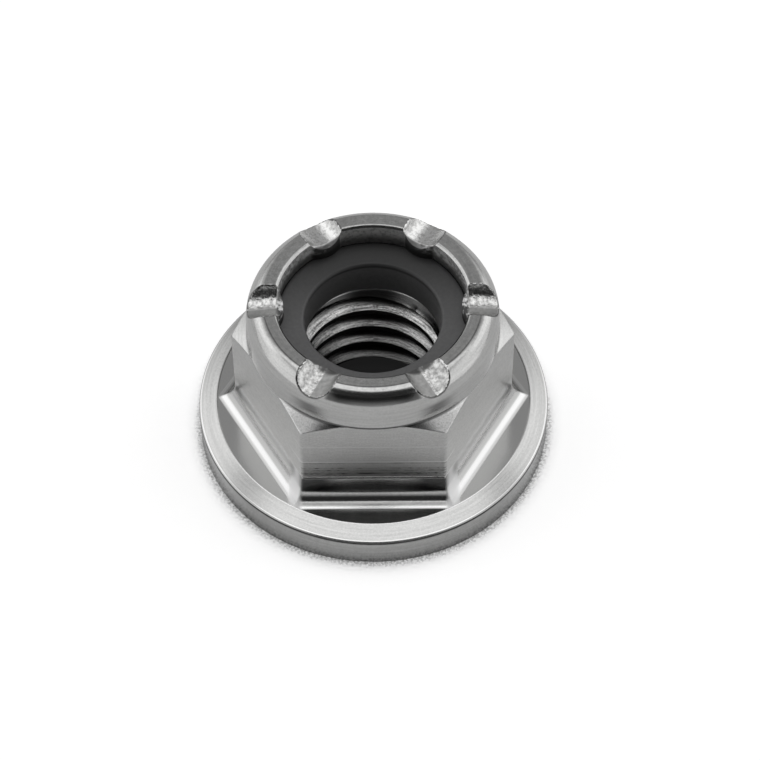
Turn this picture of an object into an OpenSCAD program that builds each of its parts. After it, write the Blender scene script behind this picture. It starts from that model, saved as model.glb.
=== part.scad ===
// Hexagon flange lock nut: a turned and milled metal nut whose staked rim holds a polymer locking ring.
// The bearing face lies at z = 0 and the thread axis is the Z axis. All sizes are in millimetres.

/* [Thread] */
// Nominal diameter of the thread
thread_d = 8; // [7:0.1:8.4]
// Pitch of the thread
thread_pitch = 1.25; // [1:0.05:1.5]
// How far each thread mouth is countersunk outside the nominal thread
mouth_relief = 0.1; // [0.05:0.05:0.3]

/* [Hexagon] */
// Width across the flats
across_flats = 12; // [11.6:0.1:13]
// Height from the milled ledge to the foot of the collar
hex_h = 5.32; // [4.6:0.02:6.5]
// Angle of the turned chamfer on the corners, from horizontal
chamfer_angle = 35; // [20:1:40]
// Radius that the milling cutter leaves at the foot of each flat
root_r = 1; // [0.5:0.05:1.15]

/* [Flange] */
// Diameter of the flange
flange_d = 17.5; // [16.8:0.1:20]
// Height of the straight rim of the flange
rim_h = 1.65; // [1:0.05:2.4]
// Radial width of the coned band that is left outside the milled ledges
cone_w = 0.92; // [0.5:0.02:1.2]
// Slope of the coned band, from horizontal
cone_angle = 21.5; // [12:0.5:28]
// Broken edge at the top and bottom of the rim
edge_break = 0.05; // [0.03:0.01:0.2]

/* [Collar] */
// Height of the collar above the hexagon
collar_h = 2.15; // [2:0.01:3]
// How far the collar stands out past the middle of each flat
collar_over = 0.12; // [0.02:0.01:0.3]
// Radius of the rolled shoulder at the top of the collar
shoulder_r = 0.88; // [0.3:0.02:0.9]
// Chamfer inside the mouth of the collar
mouth_chamfer = 0.12; // [0.05:0.01:0.2]

/* [Locking ring] */
// Outside diameter of the locking ring
ring_d = 9.24; // [8.9:0.02:9.5]
// Radial clearance between the ring and its pocket
ring_clear = 0.02; // [0.01:0.01:0.05]
// Height of the locking ring
ring_h = 2.1; // [1.6:0.05:2.6]
// How deep the ring's top lies under the rim of the collar
ring_depth = 1.18; // [1.1:0.02:1.7]
// How much lower the ring's top is at its bore than at its outside
ring_dish = 0.18; // [0.02:0.02:0.3]
// How far the ring's bore stands inside the crests of the thread
ring_grip = 0.02; // [0.01:0.01:0.2]
// Chamfer on the edges of the ring's bore
ring_chamfer = 0.16; // [0.05:0.01:0.3]

/* [Stakes] */
// Number of stakes pressed across the rim
stakes = 6; // [3:1:8]
// Radius of the round punch that presses the stakes
stake_r = 1.06; // [0.8:0.02:1.3]
// Depth of a stake at the middle of the rim
stake_depth = 0.64; // [0.3:0.02:0.8]
// Outward fall of a stake's floor
stake_tilt = 6; // [0:1:10]
// How far a stake pushes the metal inwards over the locking ring
stake_push = 0.34; // [0.1:0.02:0.6]
// Radius of the bulge that a stake pushes inwards
bulge_r = 1.46; // [1:0.02:2]

/* [Hidden] */
$fn = 96;
clear = 1;  // how far a cutter runs past what it cuts

crest_r = thread_d / 2 - 0.54127 * thread_pitch;
mouth_r = thread_d / 2 + mouth_relief;
flat_r = across_flats / 2;
corner_r = flat_r / cos(30);
flange_r = flange_d / 2;
ledge_r = flange_r - cone_w;
ledge_z = rim_h + cone_w * tan(cone_angle);
hex_z = ledge_z + hex_h;
collar_r = flat_r + collar_over;
top_z = hex_z + collar_h;
ring_r = ring_d / 2;
pocket_r = ring_r + ring_clear;
ring_z = top_z - ring_depth - ring_h;
ring_top_z = ring_z + ring_h;
ring_bore_r = crest_r - ring_grip;
rim_mid_r = (pocket_r + collar_r) / 2;
stake_tip_r = pocket_r - stake_push;

// Half section of the turned flange: a straight rim with broken edges under a cone that runs in to the corners.
module flange_section() {
    rise = (flange_r - corner_r) * tan(cone_angle);
    polygon([
        [0, 0],
        [flange_r - edge_break, 0],
        [flange_r, edge_break],
        [flange_r, rim_h - edge_break],
        [flange_r - edge_break, rim_h + edge_break * tan(cone_angle)],
        [corner_r, rim_h + rise],
        [0, rim_h + rise]
    ]);
}

// Half section of the turned body above the flange: the corner cylinder under its chamfer cone.
module hexagon_section() {
    corner_z = hex_z - (corner_r - collar_r) * tan(chamfer_angle);
    polygon([
        [0, rim_h],
        [corner_r, rim_h],
        [corner_r, corner_z],
        [collar_r, hex_z],
        [0, hex_z]
    ]);
}

// The turned blank, before the flats are milled and without the collar.
module blank() {
    rotate_extrude() {
        flange_section();
        hexagon_section();
    }
}

// The collar, which the milled flats stop under, with its rounded shoulder.
module collar() {
    rotate_extrude() {
        translate([0, hex_z]) square([collar_r, collar_h - shoulder_r]);
        translate([0, hex_z]) square([collar_r - shoulder_r, collar_h]);
        translate([collar_r - shoulder_r, top_z - shoulder_r]) circle(shoulder_r);
    }
}

// What the milling cutter removes along one flat: everything outside the flat and above the ledge,
// except for the radius that the cutter's corner leaves. The section is drawn in X and Z and runs along Y.
module cutter_pass() {
    reach = flange_r - flat_r + clear;
    height = top_z - ledge_z + clear;
    translate([flat_r, flange_r + clear, ledge_z])
        rotate([90, 0, 0])
            linear_extrude(2 * (flange_r + clear)) {
                translate([root_r, root_r]) circle(root_r);
                translate([root_r, 0]) square([reach - root_r, height]);
                translate([0, root_r]) square([reach, height - root_r]);
            }
}

// The bore from end to end: countersunk mouths, the thread at its crest diameter, and the stepped pocket for the ring.
module bore() {
    sink = mouth_r - crest_r;
    translate([0, 0, -clear]) cylinder(r = crest_r, h = top_z + 2 * clear);
    translate([0, 0, -clear]) cylinder(r1 = mouth_r + clear, r2 = crest_r, h = sink + clear);
    translate([0, 0, ring_z - sink]) cylinder(r1 = crest_r, r2 = mouth_r, h = sink);
    translate([0, 0, ring_z]) cylinder(r = pocket_r, h = top_z - ring_z + clear);
    translate([0, 0, top_z - mouth_chamfer])
        cylinder(r1 = pocket_r, r2 = pocket_r + mouth_chamfer + clear, h = mouth_chamfer + clear);
}

// One tongue of metal, pushed in over the locking ring by a stake.
module tongue() {
    intersection() {
        translate([stake_tip_r + bulge_r, 0, ring_top_z])
            cylinder(r = bulge_r, h = top_z - ring_top_z - mouth_chamfer);
        cylinder(r = rim_mid_r, h = top_z);
    }
}

// One stake: the round punch laid along a radius across the rim, tipped so that its groove falls outwards.
module stake() {
    length = collar_r + clear - stake_tip_r + clear;
    translate([rim_mid_r, 0, top_z - stake_depth])
        rotate([0, 90 + stake_tilt, 0])
            translate([-stake_r, 0, -length / 2])
                cylinder(r = stake_r, h = length);
}

module nut_body() {
    color([0.62, 0.61, 0.6])
        difference() {
            union() {
                difference() {
                    union() {
                        difference() {
                            blank();
                            for (side = [0:5]) rotate([0, 0, 30 + 60 * side]) cutter_pass();
                        }
                        collar();
                    }
                    bore();
                }
                for (k = [0:stakes - 1]) rotate([0, 0, 360 / stakes * k]) tongue();
            }
            for (k = [0:stakes - 1]) rotate([0, 0, 360 / stakes * k]) stake();
        }
}

// The locking ring: a polymer washer with a chamfered bore and a slightly dished top.
module locking_ring() {
    color([0.09, 0.09, 0.09])
        translate([0, 0, ring_z])
            rotate_extrude()
                polygon([
                    [ring_bore_r + ring_chamfer, 0],
                    [ring_r, 0],
                    [ring_r, ring_h],
                    [ring_bore_r + ring_chamfer, ring_h - ring_dish],
                    [ring_bore_r, ring_h - ring_dish - ring_chamfer],
                    [ring_bore_r, ring_chamfer]
                ]);
}

nut_body();
locking_ring();
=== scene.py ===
import math

import bmesh
import bpy
import numpy as np
from mathutils import Matrix


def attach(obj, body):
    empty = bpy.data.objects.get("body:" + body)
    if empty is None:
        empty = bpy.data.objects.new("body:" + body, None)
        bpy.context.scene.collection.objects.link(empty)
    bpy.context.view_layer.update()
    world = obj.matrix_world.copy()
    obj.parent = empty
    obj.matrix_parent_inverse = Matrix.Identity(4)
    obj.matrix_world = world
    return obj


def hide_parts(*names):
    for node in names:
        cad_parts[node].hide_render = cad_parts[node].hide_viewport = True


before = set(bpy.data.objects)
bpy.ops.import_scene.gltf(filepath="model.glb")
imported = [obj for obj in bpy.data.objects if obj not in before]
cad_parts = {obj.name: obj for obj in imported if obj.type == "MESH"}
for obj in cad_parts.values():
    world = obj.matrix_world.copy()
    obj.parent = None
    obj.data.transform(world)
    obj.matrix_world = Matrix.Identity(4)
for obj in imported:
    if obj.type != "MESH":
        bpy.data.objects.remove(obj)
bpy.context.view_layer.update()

# The nut body
# One piece of bare metal, turned from bar with its flange, collar and bore, then milled to a hexagon whose
# cutter runs round over the flange. Six stakes, struck across the collar's rim, hold the locking ring.
MM = 0.001
PER_METRE = 1000
WELD = 2e-7
FLANGE_R = 8.75
RIM_H = 1.65
EDGE_BREAK = 0.07
# Distance beside an edge of the row of points that keeps its shading crisp
EDGE_ROW = 0.03
CONE_ANGLE = math.radians(21.5)
CONE_SLOPE = math.tan(CONE_ANGLE)
LEDGE_R = 7.83
LEDGE_EDGE = 0.01
LAND_TOP = RIM_H + (FLANGE_R - LEDGE_R) * CONE_SLOPE
LEDGE_DROP = 0.12
LEDGE_Z = LAND_TOP - LEDGE_DROP
FLAT_R = 6.0
STEP_OUT = 0.08
STEP_Z = 3.28
STEP_FOOT = STEP_Z - 0.03
STEP_HEAD = STEP_Z + 0.02
CORNER_SOFT_R = 0.2
ROOT_SOFT_R = 0.06
ROOT_R = 0.63
PLAIN_ROOT_R = 1.0
TOE_ANGLE = math.radians(14)
TOE_W = 0.25
ROOT_END = math.radians(76)
LEAN = math.tan(math.radians(9))
COLLAR_R = 6.12
HEX_TOP = LAND_TOP + 5.32
CHAMFER_ANGLE = 35
CHAMFER_SLOPE = math.tan(math.radians(CHAMFER_ANGLE))
NECK_R = 0.12
NECK_RISE = 0.065
NECK_REACH = 0.06
RIM_TOP = HEX_TOP + 2.15
SHOULDER_R = 0.88
SHOULDER_TOP_R = 0.55
SHOULDER_SPLIT = math.radians(30)
MOUTH_BREAK = 0.12
LIP_R = 4.64
RIM_MID_R = (LIP_R + COLLAR_R) / 2
RING_TOP = RIM_TOP - 1.18
RING_FOOT = RING_TOP - 2.1
RING_SEAT_R = 4.35
PITCH = 1.25
THREAD_START = 0.30 * PITCH
THREAD_ROOT_R = 4.0
CREST_R = THREAD_ROOT_R - 0.54127 * PITCH
ROOT_HALF = PITCH / 16
FLANK = (THREAD_ROOT_R - CREST_R) * math.tan(math.radians(30))
CREST_W = PITCH - 2 * ROOT_HALF - 2 * FLANK
SINK_R = 4.1
STAKE_R = 1.06
STAKE_DEPTH = 0.64
STAKE_TILT = math.tan(math.radians(6))
STAKE_TIP_R = 4.30
BULGE_R = 1.46
SECTOR = math.radians(60)
FINISHES = ("turned", "milled", "struck", "threaded")


def spread(stops, counts):
    """Values running through the stops, with that many equal steps between each two; the last is left out."""
    return np.concatenate([np.linspace(a, b, n, endpoint=False)
                           for a, b, n in zip(stops[:-1], stops[1:], counts)])


def turned_angles():
    """Angles round the axis, closer together at the hexagon's corners and the stakes than along the flats."""
    one = spread(np.radians([0, 2, 15, 45, 58, 60]), [6, 28, 24, 28, 6])
    return np.concatenate([one + k * SECTOR for k in range(6)])


def from_corner(theta):
    """Angle from the nearest corner of the hexagon, which is also the nearest stake, with its sign."""
    return (theta + SECTOR / 2) % SECTOR - SECTOR / 2


def cone_height(r):
    """Height of the flange's cone at radius r: the rim's height plus the slope times the way in."""
    return RIM_H + (FLANGE_R - r) * CONE_SLOPE


def hexagon_radius(theta, out, soft=CORNER_SOFT_R):
    """Distance from the axis to a line that runs round the hexagon, out from its flats, with soft corners.

    Along a flat it is the flat's distance over the cosine of the angle from its middle. Round a corner it is
    the far crossing of the ray with a circle whose centre stays inside the corner.
    """
    off = np.abs(from_corner(theta))
    straight = (FLAT_R + out) / np.cos(SECTOR / 2 - off)
    centre = (FLAT_R + out - soft) / math.cos(SECTOR / 2)
    inside = np.maximum(soft ** 2 - (centre * np.sin(off)) ** 2, 0)
    rounded = centre * np.cos(off) + np.sqrt(inside)
    touch = np.arctan2(soft * 0.5, centre + soft * math.cos(SECTOR / 2))
    return np.where(off < touch, rounded, straight)


def stake_height(theta, r):
    """Height of the stakes' floor: a round punch laid along a radius, tipped outwards and sunk."""
    off = from_corner(theta)
    out, across = r * np.cos(off), r * np.sin(off)
    rise = STAKE_R - np.sqrt(np.maximum(STAKE_R ** 2 - across ** 2, 0))
    floor = RIM_TOP - STAKE_DEPTH - (out - RIM_MID_R) * STAKE_TILT + rise
    return np.where((out > 0) & (np.abs(across) < STAKE_R), floor, RIM_TOP + 1)


def lip_radius(theta):
    """Radius of the collar's mouth: the turned wall, or the near side of a bulge that a stake pushed in."""
    off = from_corner(theta)
    centre = STAKE_TIP_R + BULGE_R
    inside = BULGE_R ** 2 - (centre * np.sin(off)) ** 2
    near = centre * np.cos(off) - np.sqrt(np.maximum(inside, 0))
    return np.where(inside > 0, np.minimum(near, LIP_R), LIP_R)


def shoulder(a):
    """Radius and height on the shoulder where its normal leans out by a: a tight arc, then a wide one."""
    wide = (SHOULDER_R - SHOULDER_TOP_R * math.sin(SHOULDER_SPLIT)) / (1 - math.sin(SHOULDER_SPLIT))
    tight = min(a, SHOULDER_SPLIT)
    r = COLLAR_R - SHOULDER_R + SHOULDER_TOP_R * math.sin(tight)
    z = RIM_TOP - SHOULDER_TOP_R * (1 - math.cos(tight))
    if a > SHOULDER_SPLIT:
        r += wide * (math.sin(a) - math.sin(SHOULDER_SPLIT))
        z -= wide * (math.cos(SHOULDER_SPLIT) - math.cos(a))
    return r, z


def stepped_root():
    """The cutter's root on the front and back flats, as distances out from the flat and heights.

    A low toe runs up from the ledge, then a tight arc, then a wall that leans out under the step.
    """
    wall_z = LEDGE_Z + TOE_W * math.tan(TOE_ANGLE) + ROOT_R * (math.cos(TOE_ANGLE) - math.cos(ROOT_END))
    wall_out = STEP_OUT + (STEP_FOOT - wall_z) * LEAN
    toe_out = wall_out + ROOT_R * (math.sin(ROOT_END) - math.sin(TOE_ANGLE))
    toe = np.array([0.0, 0.08, 0.5, 0.92])
    a = np.linspace(TOE_ANGLE, ROOT_END, 11)
    up = np.array([0.04, 0.5, 0.94, 1.0])
    out = np.concatenate([toe_out + TOE_W * (1 - toe), wall_out + ROOT_R * (math.sin(ROOT_END) - np.sin(a)),
                          wall_out + (STEP_OUT - wall_out) * up])
    z = np.concatenate([LEDGE_Z + TOE_W * toe * math.tan(TOE_ANGLE),
                        wall_z + ROOT_R * (math.cos(ROOT_END) - np.cos(a)),
                        wall_z + (STEP_FOOT - wall_z) * up])
    return out, z


def plain_root(count):
    """The cutter's root on the other four flats, in as many rows: one arc that runs straight into the flat.

    The arc starts at the toe's angle, so that it meets the ledge in a line.
    """
    up = np.array([0.3, 0.7, 1.0])
    a = np.concatenate([[TOE_ANGLE], np.linspace(TOE_ANGLE + 0.01, math.pi / 2, count - 1 - len(up))])
    out = np.concatenate([PLAIN_ROOT_R * (1 - np.sin(a)), 0 * up])
    z = LEDGE_Z + PLAIN_ROOT_R * (math.cos(TOE_ANGLE) - np.cos(a))
    return out, np.concatenate([z, z[-1] + (STEP_FOOT - z[-1]) * up])


class Section:
    """The nut's section at each angle: rows of radius and height, and the finish of the band after each."""

    def __init__(self, theta):
        self.theta = theta
        self.rows, self.bands = [], []

    def add(self, r, z, finish="turned"):
        """One row of points: a radius and a height, each one number or a value for each angle."""
        self.rows.append(np.stack([r + 0 * self.theta, z + 0 * self.theta]))
        self.bands.append(FINISHES.index(finish))

    def add_round(self, centre_r, centre_z, radius, start, stop, steps):
        """Rows along an arc: the centre plus the radius times the cosine and sine of each angle."""
        for a in np.radians(np.linspace(start, stop, steps)):
            self.add(centre_r + radius * math.cos(a), centre_z + radius * math.sin(a))


def add_flange(section):
    """Straight lines and two small arcs: the bearing face, the rim, and the cone as far as the ledge."""
    face_end = FLANGE_R - EDGE_BREAK - EDGE_ROW
    for r in spread([SINK_R, face_end], [4]):
        section.add(r, 0.0)
    section.add(face_end, 0.0)
    section.add_round(FLANGE_R - EDGE_BREAK, EDGE_BREAK, EDGE_BREAK, -90, 0, 4)
    section.add(FLANGE_R, EDGE_BREAK + EDGE_ROW)
    section.add(FLANGE_R, 0.5 * RIM_H)
    top = RIM_H - EDGE_BREAK * math.tan(math.pi / 4 - CONE_ANGLE / 2)
    section.add(FLANGE_R, top - EDGE_ROW)
    section.add_round(FLANGE_R - EDGE_BREAK, top, EDGE_BREAK, 0, 90 - math.degrees(CONE_ANGLE), 4)
    cone_top = FLANGE_R - EDGE_BREAK * (1 - math.sin(CONE_ANGLE))
    cone_end = LEDGE_R + LEDGE_EDGE
    for t in (0.04, 0.35, 0.7, 0.96, 0.985):
        r = cone_top + (cone_end - cone_top) * t
        section.add(r, cone_height(r))
    section.add(cone_end, cone_height(cone_end) - 0.4 * LEDGE_EDGE)
    section.add(LEDGE_R, cone_height(LEDGE_R) - 2 * LEDGE_EDGE)
    section.add(LEDGE_R, LEDGE_Z + EDGE_ROW, "milled")


def add_hexagon(section):
    """The ledge, the roots and the flats, each row a line round the hexagon, cut off where the ledge ends.

    A flat is one with a step where its middle lies along Y, and a plain one elsewhere.
    """
    theta = section.theta
    middle = np.round(theta / SECTOR - 0.5) * SECTOR + SECTOR / 2
    plain = np.abs(np.sin(middle)) < 0.9
    step_out, step_z = stepped_root()
    plain_out, plain_z = plain_root(len(step_out))
    outs = np.where(plain, plain_out[:, None], step_out[:, None])
    heights = np.where(plain, plain_z[:, None], step_z[:, None])
    reach = LEDGE_R - EDGE_ROW
    ledge_start = LEDGE_R - LEDGE_EDGE
    foot = np.minimum(hexagon_radius(theta, outs[0], ROOT_SOFT_R), reach)
    for t in (0, 0.02, 0.5, 0.98):
        section.add(ledge_start + (foot - ledge_start) * t, LEDGE_Z, "milled")
    for out, z, soft in zip(outs, heights, np.linspace(ROOT_SOFT_R, CORNER_SOFT_R, len(outs))):
        r = hexagon_radius(theta, out, soft)
        section.add(np.minimum(r, reach), np.where(r > reach, LEDGE_Z, z), "milled")
    flat = hexagon_radius(theta, 0)
    top_z = HEX_TOP - np.maximum(flat - COLLAR_R, 0) * CHAMFER_SLOPE
    for t in (0.0, 0.03, 0.3, 0.7, 0.97, 1.0):
        section.add(flat, STEP_HEAD + (top_z - EDGE_ROW - STEP_HEAD) * t, "milled")


def add_chamfer(section):
    """The turned cone on the corners, and the small arc where it meets the foot of the collar."""
    flat = hexagon_radius(section.theta, 0)
    past = np.maximum(flat - COLLAR_R, 0)
    rim = flat - np.minimum(EDGE_ROW, past)
    corner = flat > COLLAR_R + NECK_REACH
    for t in (0.0, 0.04, 0.5, 0.9):
        r = rim + (COLLAR_R + NECK_REACH - rim) * t
        z = HEX_TOP - (r - COLLAR_R) * CHAMFER_SLOPE
        section.add(np.where(corner, r, flat), np.where(corner, z, HEX_TOP - past * CHAMFER_SLOPE))
    for a in np.radians(np.linspace(CHAMFER_ANGLE, 90, 5)):
        r = COLLAR_R + NECK_R * (1 - math.sin(a))
        z = HEX_TOP + NECK_RISE - NECK_R * math.cos(a)
        section.add(np.minimum(r, np.maximum(flat, COLLAR_R)), np.maximum(z, HEX_TOP - EDGE_ROW))


def add_collar(section):
    """The collar's side, its rolled shoulder, its flat top, and the wall of the mouth down to the ring."""
    side_foot = HEX_TOP + 0.08
    side_top = shoulder(math.pi / 2)[1]
    for t in (0.15, 0.5, 0.9):
        section.add(COLLAR_R, side_foot + (side_top - side_foot) * t)
    for a in np.linspace(math.pi / 2, 0, 19):
        section.add(*shoulder(a))
    lip = lip_radius(section.theta)
    mouth = lip + MOUTH_BREAK
    inner = COLLAR_R - SHOULDER_R
    for t in (0.05, 0.2, 0.4, 0.6, 0.8, 0.96):
        section.add(inner + (mouth - inner) * t, RIM_TOP)
    section.add(mouth, RIM_TOP - 0.004)
    section.add(lip + MOUTH_BREAK / 2, RIM_TOP - MOUTH_BREAK / 2)
    wall_top = RIM_TOP - MOUTH_BREAK
    section.add(lip, wall_top, "struck")
    for t in np.linspace(0.03, 1, 10):
        section.add(lip, wall_top + (RING_TOP - wall_top) * t, "struck")


def body_rows(theta):
    """The rows from the bearing face to the thread, pressed down to the stakes' floor where they cross it."""
    section = Section(theta)
    add_flange(section)
    add_hexagon(section)
    add_chamfer(section)
    add_collar(section)
    rows = np.array(section.rows)
    stake = stake_height(theta[None, :], rows[:, 0])
    cut = (rows[:, 1] > RING_TOP + 0.02) & (rows[:, 1] > stake)
    rows[:, 1] = np.where(cut, stake, rows[:, 1])
    bands = np.array(section.bands)[:, None] + 0 * cut
    bands[cut] = FINISHES.index("struck")
    pocket = Section(theta)
    pocket.add(LIP_R, RING_TOP - 0.03)
    pocket.add(LIP_R, RING_FOOT)
    pocket.add(RING_SEAT_R, RING_FOOT)
    pocket_bands = np.array(pocket.bands)[:, None] + 0 * cut[:3]
    return np.concatenate([rows, pocket.rows]), np.concatenate([bands, pocket_bands])


def thread_radius(z, theta):
    """Radius of a right-hand 60 degree thread, by the distance along the axis from the middle of its root.

    It has flat crests, straight flanks and a flat root, and a cone at each end of the bore cuts it short.
    """
    phase = np.abs(((z - THREAD_START) / PITCH - theta / (2 * math.pi)) % 1 - 0.5) * PITCH
    flank = np.clip((phase - ROOT_HALF) / FLANK, 0, 1)
    r = THREAD_ROOT_R - (THREAD_ROOT_R - CREST_R) * flank
    sunk = np.maximum(SINK_R - z, SINK_R - (RING_FOOT - z))
    return np.maximum(r, sunk)


# Heights of one turn's rows from the middle of its root: across the root, up a flank, over the crest, down
THREAD_MARKS = np.concatenate([
    [-ROOT_HALF, 0, ROOT_HALF],
    ROOT_HALF + FLANK * np.array([1, 2, 3]) / 3,
    ROOT_HALF + FLANK + CREST_W * np.array([0.12, 0.88, 1]),
    ROOT_HALF + CREST_W + FLANK * np.array([4, 5]) / 3])


def thread_rows(theta):
    """Radius and height of the thread's rows: each follows the helix and stops at the ends of the bore."""
    z = np.concatenate([THREAD_MARKS + THREAD_START + (t + 0.5) * PITCH for t in range(-3, 5)])[::-1]
    z = z[:, None] + PITCH * theta[None, :] / (2 * math.pi)
    z = np.clip(z, 0, RING_FOOT)
    return np.stack([thread_radius(z, theta[None, :]), z], axis=1)


def ring_of_quads(index, right):
    """Quads between each row of points and the next, and between the last row and the first."""
    return np.stack([index, right, np.roll(right, -1, 0), np.roll(index, -1, 0)], axis=-1).reshape(-1, 4)


def solid_mesh(name, points, quads, crease_deg, finish=None):
    """A closed mesh in metres: points that coincide are merged, and edges bent past the crease stay sharp."""
    mesh = bpy.data.meshes.new(name)
    mesh.from_pydata((points.reshape(-1, 3) * MM).tolist(), [], quads.tolist())
    if finish is not None:
        mesh.polygons.foreach_set("material_index", finish.astype(np.int32).ravel())
    work = bmesh.new()
    work.from_mesh(mesh)
    bmesh.ops.remove_doubles(work, verts=work.verts, dist=WELD)
    bmesh.ops.dissolve_degenerate(work, dist=WELD / 2, edges=work.edges)
    bmesh.ops.recalc_face_normals(work, faces=work.faces)
    work.to_mesh(mesh)
    work.free()
    mesh.polygons.foreach_set("use_smooth", np.ones(len(mesh.polygons), bool))
    mesh.set_sharp_from_angle(angle=math.radians(crease_deg))
    return mesh


def place(name, mesh, materials, node):
    """One piece of the nut: it stands for its CAD node and rides on the nut's only body."""
    piece = bpy.data.objects.new(name, mesh)
    bpy.context.scene.collection.objects.link(piece)
    for material in materials:
        mesh.materials.append(material)
    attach(piece, "root")
    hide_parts(node)


class Wire:
    """A shader socket that takes part in sums: each operator adds its Math node."""

    def __init__(self, tree, socket):
        self.tree, self.socket = tree, socket

    def node(self, kind, settings=None, out=0, **inputs):
        """Any node: its type, its settings, and the values or wires of its sockets.

        A socket goes by its name, or by its number after an underscore where names repeat.
        """
        made = self.tree.nodes.new(kind)
        for key, value in (settings or {}).items():
            if key == "stops":
                ramp = made.color_ramp
                while len(ramp.elements) < len(value):
                    ramp.elements.new(0.5)
                for element, (at, level) in zip(ramp.elements, value):
                    element.position, element.color = at, (level, level, level, 1)
            else:
                setattr(made, key, value)
        for key, value in inputs.items():
            slot = made.inputs[int(key[1:])] if key[0] == "_" else made.inputs[key.replace("_", " ")]
            if isinstance(value, Wire):
                self.tree.links.new(value.socket, slot)
            else:
                slot.default_value = value
        return Wire(self.tree, made.outputs[out])

    def maths(self, operation, *values):
        """One Math node on values or wires."""
        sockets = {f"_{i}": value for i, value in enumerate(values)}
        return self.node("ShaderNodeMath", {"operation": operation}, **sockets)

    def __add__(self, other):
        return self.maths("ADD", self, other)

    def __radd__(self, other):
        return self.maths("ADD", other, self)

    def __sub__(self, other):
        return self.maths("SUBTRACT", self, other)

    def __rsub__(self, other):
        return self.maths("SUBTRACT", other, self)

    def __mul__(self, other):
        return self.maths("MULTIPLY", self, other)

    def __rmul__(self, other):
        return self.maths("MULTIPLY", other, self)

    def __truediv__(self, other):
        return self.maths("DIVIDE", self, other)

    def __mod__(self, other):
        return self.maths("FLOORED_MODULO", self, other)

    def __abs__(self):
        return self.maths("ABSOLUTE", self)

    def step(self, low, high):
        """0 below low, 1 above high, and a smooth rise between; a low above the high falls instead."""
        return self.node("ShaderNodeMapRange", {"interpolation_type": "SMOOTHSTEP"},
                         Value=self, From_Min=low, From_Max=high)

    def near(self, at, reach):
        """1 close to a value, within three tenths of the reach, falling to 0 at the whole reach."""
        return abs(self - at).step(reach, reach * 0.3)

    def noise(self, vector, scale, detail=3.0):
        """Cloudy noise of that scale over a vector, about 0.5."""
        return self.node("ShaderNodeTexNoise", None, 0, Vector=vector, Scale=scale, Detail=detail,
                         Roughness=0.55)

    def mix(self, amount, first, second):
        """A colour between two others, each a wire or one level for red, green and blue."""
        first, second = [c if isinstance(c, Wire) else (c, c, c, 1) for c in (first, second)]
        return self.node("ShaderNodeMix", {"data_type": "RGBA"}, 2, _0=amount, _6=first, _7=second)

    def darker(self, amount):
        """This colour taken towards black, all the way where the amount is 1."""
        return self.mix(amount, self, 0)

    def lighter(self, amount):
        """This colour taken towards a bright metal, all the way where the amount is 1."""
        return self.mix(amount, self, 0.97)

    def parts(self, vector):
        """The three numbers of a vector."""
        made = self.node("ShaderNodeSeparateXYZ", None, 0, _0=vector)
        return [Wire(self.tree, s) for s in made.socket.node.outputs]


def finish_material(name, metallic, **constants):
    """A new material's Principled shader, with the constants set on its own sockets."""
    material = bpy.data.materials.new(name)
    material.use_nodes = True
    tree = material.node_tree
    shader = tree.nodes["Principled BSDF"]
    shader.inputs["Metallic"].default_value = metallic
    for key, value in constants.items():
        shader.inputs[key.replace("_", " ")].default_value = value
    return material, tree, shader, Wire(tree, None)


# Number of the Object output on a Texture Coordinate node
OBJECT_OUT = 3
# Cells of noise per millimetre across the tool's streaks, and per radian along them
STREAK_ACROSS = 9
STREAK_ALONG = 2.5
# Radius of the rounding that every edge shows, and the step of the tool marks' relief
EDGE_SHINE_R = 0.06 * MM
MICRON = 0.001 * MM
# How much less blue than red the metal is
WARMTH = 0.99
# Any height between the flange and the chamfer on the hexagon's corners
HEX_MID = 5.5
# Half width of a thin line along an edge
LINE_W = 0.035


def total(*marks):
    """The sum of some masks, each times its strength."""
    return sum(mask * strength for mask, strength in marks)


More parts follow.
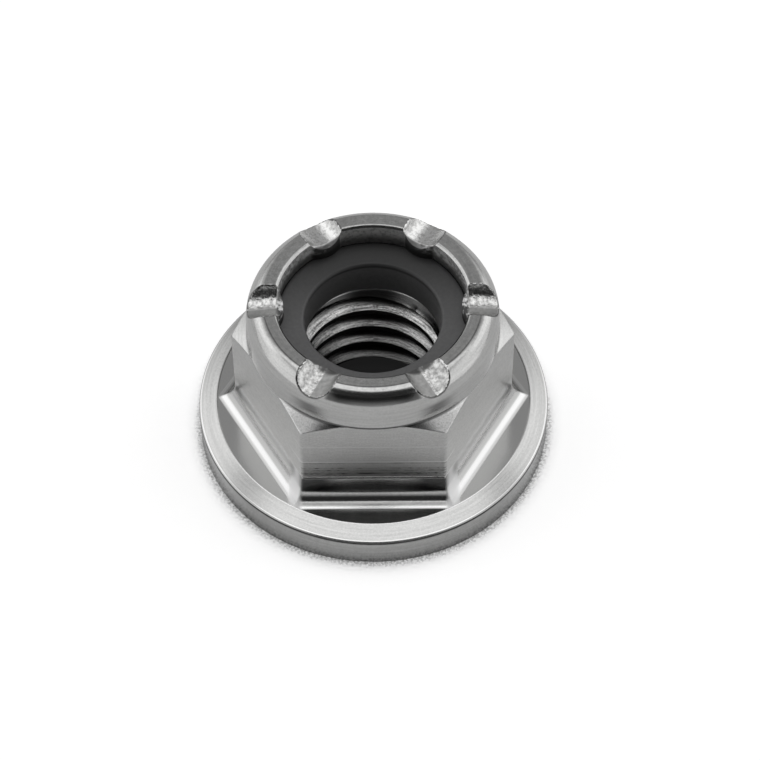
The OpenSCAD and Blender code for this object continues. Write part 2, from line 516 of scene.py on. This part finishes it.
class Metal:
    """Bare metal with the marks of its tool: streaks that run round the axis, and grit between them.

    x, y, height and radius are in millimetres. The turn is the angle from the front, and from_stake is the
    way round from the nearest stake, in sixths of a turn.
    """

    def __init__(self, name, fineness, **constants):
        self.material, self.tree, self.shader, pen = finish_material(name, 1.0, **constants)
        self.pen = pen
        self.where = pen.node("ShaderNodeTexCoord", None, OBJECT_OUT)
        x, y, z = pen.parts(self.where)
        self.x, self.y, self.height = x * PER_METRE, y * PER_METRE, z * PER_METRE
        self.radius = pen.maths("SQRT", x * x + y * y) * PER_METRE
        self.turn = pen.maths("ARCTAN2", x, 0 - y)
        self.from_stake = self.turn / SECTOR % 1 - 0.5
        track = pen.node("ShaderNodeCombineXYZ", None, 0, _0=self.radius * STREAK_ACROSS,
                         _1=self.height * STREAK_ACROSS, _2=self.turn * STREAK_ALONG)
        self.streak = pen.noise(track, 1.0)
        self.grain = pen.noise(self.where, fineness)

    def cloud(self, scale, low, high):
        """Soft spots over the surface: fine noise, cut off below low and above high."""
        return self.pen.noise(self.where, scale, 4).step(low, high)

    def cut(self, streaks, grit, rough):
        """Streaks and grit of so many micrometres, and the wear and roughness that follow from them."""
        relief = self.streak * streaks + self.grain * grit
        edge = self.pen.node("ShaderNodeBevel", {"samples": 4}, 0, Radius=EDGE_SHINE_R)
        bump = self.pen.node("ShaderNodeBump", None, 0, Strength=1.0, Distance=MICRON, Height=relief,
                             Normal=edge)
        self.tree.links.new(bump.socket, self.shader.inputs["Normal"])
        mottle = relief / (streaks + grit)
        # Wear from the tool's relief; the struck and threaded finishes add painted light and shade to it
        self.wear_and_painted_light = mottle.step(0.3, 0.7)
        self.rough = rough + mottle * 0.06

    def tone(self, dark, light):
        """A grey between the dark and the light one, lighter with the wear, and lighter or darker with the
        painted light and shade that some finishes add to it.
        """
        return self.pen.node("ShaderNodeMix", {"data_type": "RGBA"}, 2, _0=self.wear_and_painted_light,
                             _6=(dark, dark, dark * WARMTH, 1), _7=(light, light, light * WARMTH, 1))

    def finished(self, tone):
        """The material, with its tone and its roughness wired in."""
        self.tree.links.new(tone.socket, self.shader.inputs["Base Color"])
        self.tree.links.new(self.rough.socket, self.shader.inputs["Roughness"])
        return self.material


def above_stake(metal):
    """How far the stake's floor, carried on past its edge as in stake_height, lies above a point."""
    pen = metal.pen
    off = metal.from_stake * SECTOR
    across = metal.radius * pen.maths("SINE", off)
    out = metal.radius * pen.maths("COSINE", off)
    rise = STAKE_R - pen.maths("SQRT", pen.maths("MAXIMUM", STAKE_R ** 2 - across * across, 0))
    floor = RIM_TOP - STAKE_DEPTH - (out - RIM_MID_R) * STAKE_TILT
    return floor + rise - metal.height


def turned_metal():
    """The lathe's finish, with painted highlights on the lips of the coned band, the chamfer in front and the
    rim's far ends.

    It has painted shade at the rim's top edge and foot, in the collar's neck, under and round the stakes,
    along the brow where the flat top rolls over, and in a band under the front lip, which is paler at its
    middle.
    """
    metal = Metal("turned_metal", 12000, Anisotropic=0.3, Anisotropic_Rotation=0.25)
    metal.cut(1.3, 1.1, 0.12)
    height, radius, turn = metal.height, metal.radius, abs(metal.turn)
    on_flange = height.step(HEX_MID, HEX_MID - 0.1)
    band = on_flange * height.step(RIM_H - 0.02, RIM_H)
    # Painted highlights: a thin line on each lip of the coned band
    outer_lip_highlight = band * radius.near(FLANGE_R - 0.085, LINE_W)
    inner_lip_highlight = band * radius.near(LEDGE_R + 0.03, LINE_W) * turn.step(1.3, 0.9)
    # Painted highlight, grainy, on the chamfer in front
    chamfer = (1 - on_flange) * height.step(HEX_TOP + 0.02, HEX_TOP - 0.06) * turn.step(1.0, 0.8)
    chamfer = chamfer * metal.cloud(14000, 0.25, 0.7)
    rim_side = height.step(RIM_H, RIM_H - 0.1)
    # Painted highlight on the rim's far ends
    rim_end_highlight = rim_side * abs(metal.x).step(5.8, 8.4)
    # The painted highlights together
    light = total((outer_lip_highlight, 0.7), (inner_lip_highlight, 0.7), (chamfer, 0.55), (rim_end_highlight, 0.8))
    rim_mottle = rim_side * metal.cloud(3500, 0.35, 0.65)
    # Painted shade at the rim's foot, and a painted dark line of shade under the rim's top edge
    rim_foot_shade = height.step(0.12, 0.0)
    rim_edge_shade = height.step(RIM_H + 0.005, RIM_H - 0.03) * height.step(RIM_H - 0.2, RIM_H - 0.12)
    # Painted shade in the collar's neck and under each stake
    neck = height.near(HEX_TOP + 0.02, 0.1) * turn.step(0.85, 0.6)
    under_stake_shade = height.near(HEX_TOP + 0.66, 0.5) * abs(metal.from_stake).step(0.2, 0.0)
    top_mottle = height.step(RIM_TOP - 0.1, RIM_TOP - 0.02) * metal.cloud(4000, 0.3, 0.7)
    # Painted dark line of shade along the brow where the flat top rolls over, from the front to the sides
    brow = height.step(RIM_TOP - 0.1, RIM_TOP - 0.05) * radius.near(COLLAR_R - SHOULDER_R + 0.02, 0.05)
    brow = brow * turn.step(1.6, 1.2)
    # Painted shade in a band under the front lip, paler at its middle
    under_lip_shade = height.step(RIM_TOP - 0.21, RIM_TOP - 0.27) * height.step(RIM_TOP - 0.6, RIM_TOP - 0.5)
    under_lip_shade = under_lip_shade * turn.step(0.41, 0.36) * (turn.step(0.1, 0.3) * 0.25 + 0.45)
    # Painted shade round the stakes
    stake_outline_shade = above_stake(metal).step(0.11, 0.04)
    # The painted shade together, with the rim side's and the flat top's own mottle
    dark = total((rim_mottle, 0.07), (rim_foot_shade, 0.6), (rim_edge_shade, 0.85), (neck, 0.75), (under_stake_shade, 0.6),
                 (top_mottle, 0.16), (brow, 0.45), (under_lip_shade, 1), (stake_outline_shade, 0.7))
    return metal.finished(metal.tone(0.51, 0.65).lighter(light).darker(dark))


# Height and half width of the dark lines that the cutter scored across the stepped flats
SCORED = ((4.42, 0.07), (4.02, 0.06), (3.84, 0.05), (3.6, 0.1))
# Height and strength of the lines there that catch the light
SCRIBED = ((4.53, 0.6), (5.72, 0.25))


def milled_metal():
    """The cutter's finish on the flats, their roots and the ledge, for both kinds of flat, with painted light
    and shade.

    The plain flats have smooth roots with a painted highlight band, a painted light line in front and painted
    shade behind, and a painted bright flare where they meet the front flat. The stepped flats, in front and
    behind, have scored and scribed lines, the scribed ones with painted highlights, a painted light line at
    the toe, painted shade on the ledge and along the toe, and a wall under the step with painted shade at
    both ends.
    """
    metal = Metal("milled_metal", 12000, Anisotropic=0.4, Anisotropic_Rotation=0.25)
    height, side = metal.height, abs(metal.x)
    plain = side.step(3.6, 4.2)
    stepped = 1 - plain
    front = metal.y.step(0.1, -0.1)
    smooth = plain * height.step(2.6, 2.3)
    metal.streak = metal.streak + (0.5 - metal.streak) * smooth
    metal.grain = metal.grain + (0.5 - metal.grain) * smooth
    metal.cut(0.9, 1.3, 0.12)
    # Painted highlight, also rougher: a bright flare where the plain roots meet the front flat
    flare = side.near(3.85, 0.44) * metal.y.step(-5.0, -5.5) * height.step(3.5, 3.2)
    root_top = plain * height.near(2.9, 0.6)
    level = metal.rough * plain + 0.14 * stepped + total((flare, 0.5), (root_top, 0.16))
    above_root = height.step(stepped * 1.08 + 2.1, stepped * 0.78 + 2.7)
    metal.rough = level + (0.28 - level) * above_root
    scored = height.step(4.5, 3.4) * height.step(STEP_Z - 0.08, STEP_Z + 0.02) * 0.5
    for at, reach in SCORED:
        scored = scored + height.near(at, reach)
    scored = scored * abs(metal.y).step(FLAT_R - 0.12, FLAT_R - 0.04)
    tone = metal.tone(0.50, 0.65).darker(stepped * scored * metal.streak.step(0.35, 0.75) * 0.65)
    # Painted shade on the roots behind
    back_root_shade = (1 - front) * height.step(2.8, 2.3) * height.step(LEDGE_Z, LEDGE_Z + 0.02)
    tone = tone.darker(back_root_shade * 0.35)
    # Painted highlights: a band on the plain roots, a line at their foot in front, and the scribed lines
    root = plain * height.step(2.2, 2.5) * height.step(3.7, 3.2)
    front_root_highlight = plain * front * height.near(2.0, 0.12)
    scribed = [(stepped * height.near(at, 0.05), strength) for at, strength in SCRIBED]
    tone = tone.lighter(total((root, 0.55), (front_root_highlight, 0.68), *scribed))
    # Painted highlight along the toe of the stepped flats
    toe_highlight = height.step(LEDGE_Z + 0.003, LEDGE_Z + 0.01) * height.step(LEDGE_Z + 0.043, LEDGE_Z + 0.033)
    tone = tone.lighter(stepped * toe_highlight * 0.7)
    # Painted shade on the ledge, along the toe, and at both ends of the wall under the step
    ledge = height.step(LEDGE_Z + 0.02, LEDGE_Z + 0.01)
    toe = height.near(LEDGE_Z + 0.073, LINE_W)
    wall_end_shade = side.step(1.2, 2.6) * height.step(2.35, 2.5) * height.step(STEP_Z - 0.01, STEP_Z - 0.06)
    dark = total((ledge, 0.3), (toe, 0.45), (wall_end_shade, 0.85))
    return metal.finished(tone.darker(stepped * dark).lighter(flare * 0.8))


def struck_metal():
    """The punch's finish: coarse grit, smoother on the side of each groove that faces the front's middle,
    with a painted highlight along each groove's ridge and on the mouth's top edges, and painted light on the
    stakes at the back.

    The wall of the mouth has it too, with painted shade on the bulges and at its foot, and painted highlights
    in spots at its sides.
    """
    metal = Metal("struck_metal", 5500)
    height, radius, from_stake = metal.height, metal.radius, metal.from_stake
    # The back half, where the stakes get painted light
    back = metal.y.step(1, 4)
    towards_middle = 1 - metal.x.step(-0.1, 0.1) * 2
    facet = (from_stake * towards_middle).step(0.0, 0.012)
    facet = facet * abs(from_stake).step(0.21, 0.2) * (1 - back * 0.75)
    metal.grain = metal.grain + (0.45 - metal.grain) * facet * 0.65
    metal.cut(3.0, 22.0, 0.17)
    wall = height.step(RIM_TOP - 0.1, RIM_TOP - 0.16) * radius.step(LIP_R + 0.04, LIP_R + 0.01)
    bulge = wall * radius.step(LIP_R - 0.02, LIP_R - 0.14)
    tips = radius.step(STAKE_TIP_R + 0.16, STAKE_TIP_R + 0.08)
    # Painted highlight along each groove's ridge
    ridge_highlight = from_stake.near(0.0, 0.014)
    metal.rough = metal.rough + total((wall, 0.4), (facet, 0.22))
    metal.wear_and_painted_light = (metal.wear_and_painted_light + tips * 0.8) * (1 - facet * 0.3)
    # Painted highlight on the ridge, painted light on the stakes at the back, and painted shade on the bulges
    metal.wear_and_painted_light = metal.wear_and_painted_light + total((ridge_highlight, 0.5), (back, 0.4), (bulge, -3))
    # Painted shade at the wall's foot and on the bulges
    wall_foot_shade = wall * height.step(RING_TOP + 0.85, RING_TOP + 0.15)
    tone = metal.tone(0.34, 0.78).darker(bulge * 0.5).darker(wall_foot_shade * 0.75)
    # Painted highlights in spots at the wall's sides
    spots = wall * height.step(RING_TOP + 0.25, RING_TOP + 0.7) * metal.cloud(3200, 0.46, 0.6)
    spots = spots * abs(metal.x).step(1.8, 3.2)
    # Painted highlight on the mouth's top edges
    top_edge_highlight = height.step(RIM_TOP - 0.1, RIM_TOP - 0.05) * radius.step(4.8, 4.85)
    return metal.finished(tone.lighter(spots * 0.85).lighter(top_edge_highlight * 0.7))


def threaded_metal():
    """The tap's finish: crests lighter than the dark gaps, with painted light that makes them brighter
    towards the sides and painted shade that makes them dimmer the deeper they lie.

    Above the last full crest painted shade keeps it dark, up to one painted highlight line at the thread's
    end.
    """
    metal = Metal("threaded_metal", 12000)
    metal.cut(9.0, 5.0, 0.22)
    height = metal.height
    crests = metal.radius.step(THREAD_ROOT_R - 0.1, CREST_R + 0.16)
    # Painted light, brighter towards the sides
    sides = abs(metal.x).step(0.8, 2.8) * 0.6 + 0.85
    # Painted shade, dimmer the deeper the crest lies
    shaded = height.step(-1.5, 6.5)
    # Painted shade above the last full crest, and a painted highlight line at the thread's end
    last_crest_shade = height.step(5.55, 5.4)
    end_line_highlight = height.near(5.8, LINE_W)
    metal.wear_and_painted_light = metal.wear_and_painted_light * crests * sides * shaded * last_crest_shade + end_line_highlight * 0.7
    return metal.finished(metal.tone(0.13, 0.95))


angles = turned_angles()
rows, bands = body_rows(angles)
helix = thread_rows(angles)
body_count = len(rows)
rows = np.concatenate([rows, helix])
bands = np.concatenate([bands, np.full((len(helix), len(angles)), FINISHES.index("threaded"))])
points = np.stack([rows[:, 0] * np.cos(angles), rows[:, 0] * np.sin(angles), rows[:, 1]], axis=-1)
index = np.arange(bands.size).reshape(bands.shape)
right = np.roll(index, -1, axis=1)
# Across the seam each row of the helix goes on as the row that lies one turn further up
seam = np.arange(len(rows))
seam[body_count:] = np.maximum(seam[body_count:] - len(THREAD_MARKS), body_count)
right[:, -1] = index[seam, 0]
place("nut_body_visual", solid_mesh("nut_body_visual", points, ring_of_quads(index, right), 35, bands),
      [turned_metal(), milled_metal(), struck_metal(), threaded_metal()], "nut_body")

# The locking ring
# A moulded ring of charcoal nylon, seated in the collar under the stakes' bulges. Its bore stands just inside
# the thread's crests, and its top dips a little towards the bore.
RING_R = 4.62
RING_BORE_R = CREST_R - 0.02
RING_DISH = 0.18
RING_ROUND = 0.08
RING_EDGE = 0.2
RING_CHAMFER = 0.16


def ring_rows():
    """Radius and height round the ring's section: outside, small arc, dished top, wide arc and bore.

    The dish sinks with the way in from the outside, to the power of 1.3.
    """
    rows = [(RING_R, RING_FOOT), (RING_R, RING_FOOT + 1), (RING_R, RING_TOP - RING_ROUND)]
    rows += [(RING_R + RING_ROUND * (math.cos(a) - 1), RING_TOP + RING_ROUND * (math.sin(a) - 1))
             for a in np.linspace(0.3, math.pi / 2, 4)]
    rows += [(r, RING_TOP - RING_DISH * ((RING_R - r) / (RING_R - RING_BORE_R)) ** 1.3)
             for r in np.linspace(RING_R - 0.2, RING_BORE_R + RING_EDGE, 8)]
    edge_z = rows[-1][1]
    rows += [(RING_BORE_R + RING_EDGE * (1 - math.sin(a)), edge_z - RING_EDGE * (1 - math.cos(a)))
             for a in np.linspace(0.15, math.pi / 2, 7)]
    rows += [(RING_BORE_R, RING_FOOT + 1), (RING_BORE_R, RING_FOOT + RING_CHAMFER)]
    rows += [(RING_BORE_R + RING_CHAMFER, RING_FOOT)]
    return np.array(rows)


def charcoal_nylon():
    """Dark nylon with a fine grain, darker still on its top at the back, where the collar shades it."""
    material, tree, shader, pen = finish_material("charcoal_nylon", 0.0, Roughness=0.45)
    where = pen.node("ShaderNodeTexCoord", None, OBJECT_OUT)
    grain = pen.noise(where, 6000)
    bump = pen.node("ShaderNodeBump", None, 0, Strength=0.1, Distance=0.02 * MM, Height=grain)
    tree.links.new(bump.socket, shader.inputs["Normal"])
    tone = pen.node("ShaderNodeMix", {"data_type": "RGBA"}, 2, _0=grain, _6=(0.078, 0.078, 0.079, 1),
                    _7=(0.128, 0.128, 0.129, 1))
    x, y, z = pen.parts(where)
    back = (y * PER_METRE).step(-1.0, 4.2) * (z * PER_METRE).step(7.85, 8.0)
    tree.links.new(tone.darker(back * 0.85).socket, shader.inputs["Base Color"])
    return material


ring_angles = np.linspace(0, 2 * math.pi, 288, endpoint=False)
ring_r, ring_z = ring_rows().T[:, :, None]
ring_points = np.stack([ring_r * np.cos(ring_angles), ring_r * np.sin(ring_angles), ring_z + 0 * ring_angles],
                       axis=-1)
ring_index = np.arange(ring_points[..., 0].size).reshape(ring_points.shape[:2])
ring_quads = ring_of_quads(ring_index, np.roll(ring_index, -1, axis=1))
place("locking_ring_visual", solid_mesh("locking_ring_visual", ring_points, ring_quads, 40),
      [charcoal_nylon()], "locking_ring")

# The floor and the light
# A white floor without an edge, under a studio whose walls are only light: a wide soft panel overhead that
# leans behind the nut, paler walls at the sides, and a dark stretch above the camera.
FLOOR_HALF = 3.0
FLOOR_WHITE = 0.78
# Brightness along the arc from the front, over the top, to the back: the place on the arc, and the level
STUDIO_ARC = [(0.0, 0.50), (0.05, 0.40), (0.10, 0.20), (0.16, 0.03), (0.37, 0.02), (0.42, 1.15), (0.62, 1.2),
              (0.68, 0.34), (1.0, 0.34)]


def white_floor():
    """White paper that glows a little to the camera, with painted shade under the nut
    and a speckled painted contact shadow close round its rim.
    """
    material, tree, shader, pen = finish_material("white_floor", 0.0, Roughness=1.0, Specular_IOR_Level=0.0,
                                                  Emission_Strength=0.5)
    seen = pen.node("ShaderNodeLightPath", None, 0)
    where = pen.node("ShaderNodeTexCoord", None, OBJECT_OUT)
    x, y, z = pen.parts(where)
    away = pen.maths("SQRT", x * x + y * y) * PER_METRE
    speckle = pen.noise(where, 8000, 4)
    # Painted shadow: a speckled fringe, and a darker contact shadow close round the rim
    shadow_fringe = away.step(FLANGE_R + 0.95, FLANGE_R) * speckle.step(0.3, 0.7) * 0.34
    contact_shadow = away.step(FLANGE_R + 0.45, FLANGE_R - 0.05) * (speckle * 0.45 + 0.16)
    # Painted shade under the nut, with the painted shadows taken out of the lit paper
    lit = away.step(FLANGE_R - 0.75, FLANGE_R - 0.15) * (1 - (shadow_fringe + contact_shadow))
    # The painted shadow and shade go into both the paper's colour and its glow
    paper = lit * FLOOR_WHITE + 0.02
    glow = seen * (lit * 0.98 + 0.02)
    for socket, level in (("Base Color", paper), ("Emission Color", glow)):
        grey = pen.node("ShaderNodeCombineColor", None, 0, _0=level, _1=level, _2=level)
        tree.links.new(grey.socket, shader.inputs[socket])
    return material


def studio_world():
    """A sky whose level depends on the direction; the camera itself sees plain white.

    The arc is the angle from the front over the top, as a part of a half turn. Across is how far to a side.
    """
    world = bpy.data.worlds.new("studio")
    world.use_nodes = True
    backdrop = world.node_tree.nodes["Background"]
    pen = Wire(world.node_tree, None)
    dx, dy, dz = pen.parts(pen.node("ShaderNodeTexCoord", None, 0))
    arc = pen.maths("ARCTAN2", dz, 0 - dy) / math.pi
    front_to_back = pen.node("ShaderNodeValToRGB", {"stops": STUDIO_ARC}, 0, Fac=arc)
    across = abs(dx)
    behind = arc.step(0.53, 0.62)
    low_side = across.step(0.64, 0.74) * 0.42 + 0.56
    high_side = across.step(0.5, 0.66) * 0.42 - across.step(0.82, 0.93) * 0.36 - arc.step(0.87, 0.95) * 0.4
    side_level = low_side * (1 - behind) + (high_side + 0.80) * behind
    side = across.step(0.44 - arc.step(0.62, 0.70) * 0.22, 0.56)
    walls = front_to_back * (1 - side) + side * side_level
    seen = pen.node("ShaderNodeLightPath", None, 0)
    level = walls * (1 - seen) + seen
    world.node_tree.links.new(level.socket, backdrop.inputs["Strength"])
    backdrop.inputs["Color"].default_value = (1, 1, 1, 1)
    return world


floor_mesh = bpy.data.meshes.new("floor")
floor_corners = [(-FLOOR_HALF, -FLOOR_HALF, 0), (FLOOR_HALF, -FLOOR_HALF, 0), (FLOOR_HALF, FLOOR_HALF, 0),
                 (-FLOOR_HALF, FLOOR_HALF, 0)]
floor_mesh.from_pydata(floor_corners, [], [(0, 1, 2, 3)])
floor_mesh.materials.append(white_floor())
floor = bpy.data.objects.new("floor", floor_mesh)
bpy.context.scene.collection.objects.link(floor)
bpy.context.scene.world = studio_world()

# The camera
# It looks down at the nut from the photograph's side, a hand's length away.
PITCH_DOWN = math.radians(52.39)
ROLL = math.radians(-0.35)
AIM = np.array([0, 0, 4.40])
AWAY = 127.1
SIDEWAYS, UPWARDS = -0.332, 0.743
FOCAL_PX = 2572.58
PHOTO_PX = 760
SENSOR_W = 36
ahead = np.array([0, math.cos(PITCH_DOWN), -math.sin(PITCH_DOWN)])
level_right = np.array([1.0, 0, 0])
level_up = np.cross(level_right, ahead)
right_axis = math.cos(ROLL) * level_right + math.sin(ROLL) * level_up
up_axis = -math.sin(ROLL) * level_right + math.cos(ROLL) * level_up
eye = (AIM - SIDEWAYS * right_axis - UPWARDS * up_axis - AWAY * ahead) * MM
stand = np.eye(4)
stand[:3] = np.stack([right_axis, up_axis, -ahead, eye], axis=1)
lens = bpy.data.cameras.new("camera")
lens.sensor_width = SENSOR_W
lens.lens = FOCAL_PX / PHOTO_PX * SENSOR_W
lens.clip_start, lens.clip_end = 0.01, 20
camera = bpy.data.objects.new("camera", lens)
camera.matrix_world = Matrix(stand.tolist())
bpy.context.scene.collection.objects.link(camera)
bpy.context.scene.camera = camera
bpy.context.scene.view_settings.view_transform = "Standard"
